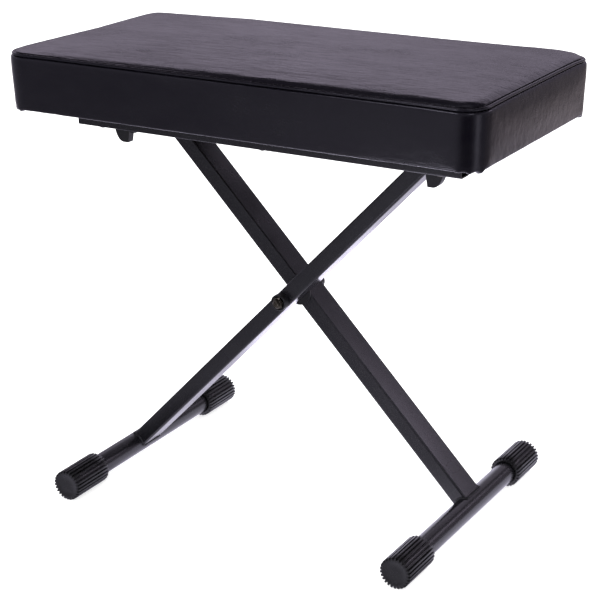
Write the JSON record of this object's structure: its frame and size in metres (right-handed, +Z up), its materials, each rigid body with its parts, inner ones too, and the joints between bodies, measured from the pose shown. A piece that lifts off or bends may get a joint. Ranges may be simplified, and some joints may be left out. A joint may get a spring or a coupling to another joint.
{
  "type": "folding keyboard bench",
  "caption": "Folding keyboard bench: oblong padded seat on a single pair of crossed rectangular tube legs with round foot bars and ribbed rubber caps.",
  "frame": {"origin": "on the floor, below the centre of the seat, midway between the ends of the foot bars", "axes": "+X along the seat's length, +Y from the front leg towards the leg behind it, +Z up"},
  "size_m": [0.61, 0.354, 0.5515],
  "materials": {
    "black_steel": "satin black powder coat",
    "bolt_steel": "black zinc plate, dull",
    "cap_rubber": "matt ribbed",
    "black_plastic": "matt moulded",
    "seat_vinyl": "semi-gloss vinyl-coated cloth over foam",
    "board_wood": "dark stained board"
  },
  "bodies": {
    "leg_a_frame": {"leg_a": "black_steel", "foot_bar_a": "black_steel", "foot_cap_a_front": "cap_rubber", "foot_cap_a_back": "cap_rubber", "cross_tube_a": "black_steel", "cross_plug_a_front": "black_plastic", "cross_plug_a_back": "black_plastic", "pivot_bolt": "bolt_steel", "pivot_nut": "bolt_steel", "pivot_boss_front": "black_plastic", "pivot_boss_back": "black_plastic", "pivot_spacer": "black_plastic"},
    "leg_b_frame": {"leg_b": "black_steel", "foot_bar_b": "black_steel", "foot_cap_b_front": "cap_rubber", "foot_cap_b_back": "cap_rubber", "cross_tube_b": "black_steel", "cross_plug_b_front": "black_plastic", "cross_plug_b_back": "black_plastic"},
    "seat": {"seat_board": "board_wood", "cushion": "seat_vinyl", "seat_rail_front": "black_steel", "seat_rail_back": "black_steel", "saddle_a_front": "black_plastic", "saddle_a_back": "black_plastic", "saddle_b_front": "black_plastic", "saddle_b_back": "black_plastic", "hinge_strap_front": "black_steel", "hinge_strap_back": "black_steel"}
  },
  "joints": [
    {"name": "leg_fold", "type": "hinge", "parent": "leg_a_frame", "child": "leg_b_frame", "pos_m": [0.002, 0, 0.25428], "axis": [0, -1, 0], "range_deg": [0, 80]},
    {"name": "seat_turn", "type": "hinge", "parent": "leg_a_frame", "child": "seat", "pos_m": [-0.19042, 0, 0.45493], "axis": [0, -1, 0], "range_deg": [0, 40]}
  ],
  "couplings": [
    {"joint": "seat_turn", "follows": "leg_fold", "ratio": 0.5}
  ]
}
